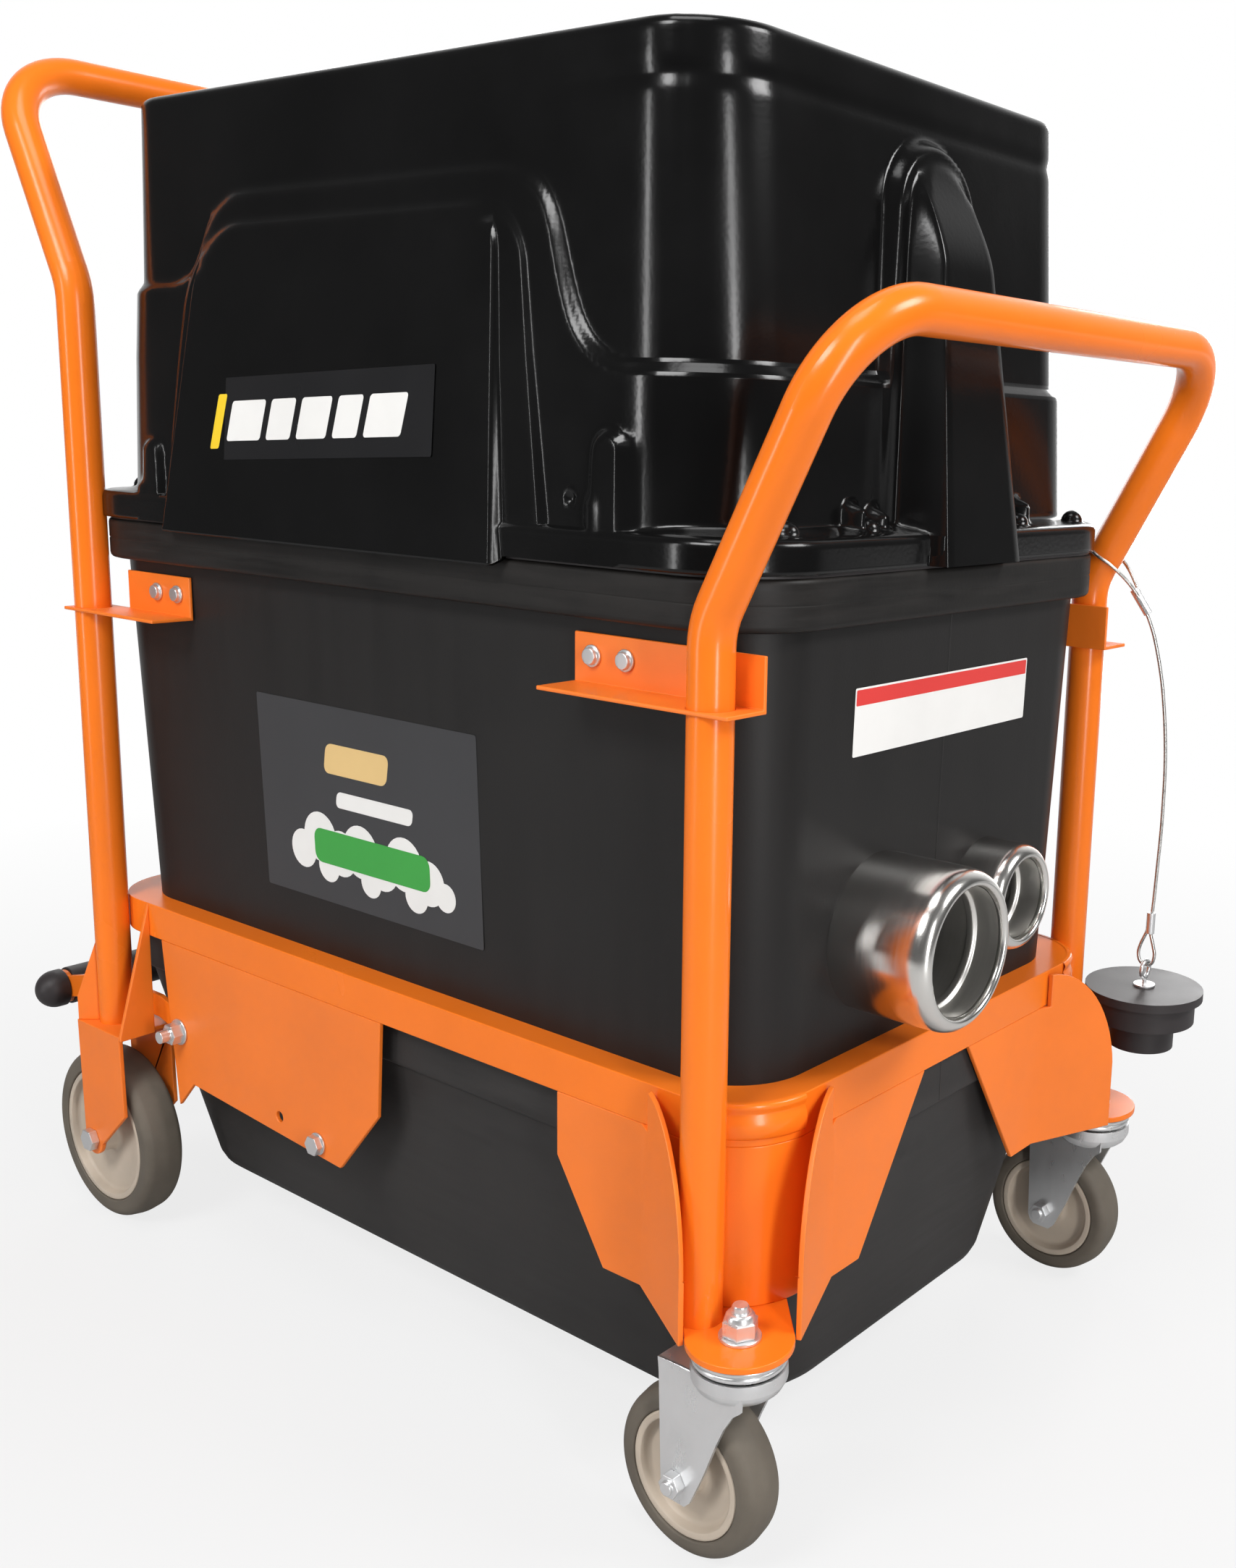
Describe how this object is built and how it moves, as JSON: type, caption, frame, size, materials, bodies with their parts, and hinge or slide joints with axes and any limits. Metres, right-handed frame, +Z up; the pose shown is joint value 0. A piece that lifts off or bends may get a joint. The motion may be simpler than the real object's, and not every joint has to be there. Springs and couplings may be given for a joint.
{
  "type": "dust collector",
  "caption": "Wheeled suction dust collector: hood with motors over a tub with hose ports, drop-out dust bin on a lever, tube cart with push handles, casters and rear wheels.",
  "frame": {"origin": "on the floor, in the middle of the overall length and width", "axes": "+X to the front with the hose ports, +Y to the left, +Z up"},
  "size_m": [1.0268, 0.643, 1.1039],
  "materials": {
    "orange_paint": "glossy powder coat",
    "hood_black": "grained",
    "tub_black": "matte moulded",
    "deck_black": "streaked matte",
    "rubber_black": "matte",
    "tyre_grey": "matte",
    "hub_beige": "satin",
    "zinc": "bright zinc",
    "stainless": "polished",
    "copper": "plain",
    "paper": "matte",
    "switch_red": "gloss"
  },
  "bodies": {
    "cart": {"base_ring": "orange_paint", "front_handle": "orange_paint", "rear_handle": "orange_paint", "front_brackets": "orange_paint", "rear_brackets": "orange_paint", "bracket_screws": "zinc", "side_wings": "orange_paint", "front_wings": "orange_paint", "corner_backs": "orange_paint", "caster_plates": "orange_paint", "side_plate_l": "orange_paint", "side_plate_r": "orange_paint", "rear_fork_l": "orange_paint", "rear_fork_r": "orange_paint", "rear_gussets": "orange_paint", "side_bolts": "zinc", "rear_axles": "zinc", "kingpins": "zinc", "caster_races": "zinc", "tub": "tub_black", "deck": "deck_black", "deck_seal": "rubber_black", "hood": "hood_black", "deck_screws": "zinc", "port_large": "stainless", "port_small": "stainless", "filter_front": "paper", "filter_rear": "paper", "filter_caps": "hood_black", "motor_front": "zinc", "motor_rear": "zinc", "motor_gaskets": "rubber_black", "bearings": "zinc", "switch_plate": "hood_black", "power_inlet": "hood_black", "bin_seal": "rubber_black", "stopper": "rubber_black", "stopper_eye": "zinc", "lanyard": "stainless"},
    "caster_l": {"caster_fork_l": "zinc", "caster_axle_l": "zinc"},
    "caster_r": {"caster_fork_r": "zinc", "caster_axle_r": "zinc"},
    "caster_wheel_l": {"caster_hub_l": "hub_beige", "caster_tyre_l": "tyre_grey"},
    "caster_wheel_r": {"caster_hub_r": "hub_beige", "caster_tyre_r": "tyre_grey"},
    "rear_wheel_l": {"rear_hub_l": "hub_beige", "rear_tyre_l": "tyre_grey"},
    "rear_wheel_r": {"rear_hub_r": "hub_beige", "rear_tyre_r": "tyre_grey"},
    "bin": {"dust_bin": "tub_black"},
    "bail": {"lift_bail": "orange_paint", "bail_grip": "rubber_black"},
    "fan_front": {"rotor_front": "copper", "impeller_front": "zinc"},
    "fan_rear": {"rotor_rear": "copper", "impeller_rear": "zinc"},
    "rocker_l": {"rocker_l": "switch_red"},
    "rocker_r": {"rocker_r": "switch_red"}
  },
  "joints": [
    {"name": "caster_swivel_l", "type": "hinge", "parent": "cart", "child": "caster_l", "pos_m": [0.43061, 0.259, 0.15], "axis": [0, 0, 1], "continuous": true},
    {"name": "caster_roll_l", "type": "hinge", "parent": "caster_l", "child": "caster_wheel_l", "pos_m": [0.39661, 0.259, 0.0635], "axis": [0, 1, 0], "continuous": true},
    {"name": "rear_roll_l", "type": "hinge", "parent": "cart", "child": "rear_wheel_l", "pos_m": [-0.37039, 0.255, 0.085], "axis": [0, 1, 0], "continuous": true},
    {"name": "caster_swivel_r", "type": "hinge", "parent": "cart", "child": "caster_r", "pos_m": [0.43061, -0.259, 0.15], "axis": [0, 0, 1], "continuous": true},
    {"name": "caster_roll_r", "type": "hinge", "parent": "caster_r", "child": "caster_wheel_r", "pos_m": [0.39661, -0.259, 0.0635], "axis": [0, 1, 0], "continuous": true},
    {"name": "rear_roll_r", "type": "hinge", "parent": "cart", "child": "rear_wheel_r", "pos_m": [-0.37039, -0.255, 0.085], "axis": [0, 1, 0], "continuous": true},
    {"name": "bin_drop", "type": "slide", "parent": "cart", "child": "bin", "axis": [0, 0, 1], "range_m": [-0.03, 0]},
    {"name": "bail_swing", "type": "hinge", "parent": "cart", "child": "bail", "pos_m": [-0.26639, 0, 0.212], "axis": [0, 1, 0], "range_deg": [0, 7.67]},
    {"name": "fan_spin_front", "type": "hinge", "parent": "cart", "child": "fan_front", "pos_m": [0.18261, 0, 0.74], "axis": [0, 0, 1], "continuous": true},
    {"name": "fan_spin_rear", "type": "hinge", "parent": "cart", "child": "fan_rear", "pos_m": [-0.14739, 0, 0.74], "axis": [0, 0, 1], "continuous": true},
    {"name": "switch_l", "type": "hinge", "parent": "cart", "child": "rocker_l", "pos_m": [-0.37238, 0.019, 0.87884], "axis": [0, 1, 0], "range_deg": [-7, 7]},
    {"name": "switch_r", "type": "hinge", "parent": "cart", "child": "rocker_r", "pos_m": [-0.37238, -0.019, 0.87884], "axis": [0, 1, 0], "range_deg": [-7, 7]}
  ],
  "couplings": [
    {"joint": "bail_swing", "follows": "bin_drop", "rad_per_m": -4.4643}
  ]
}
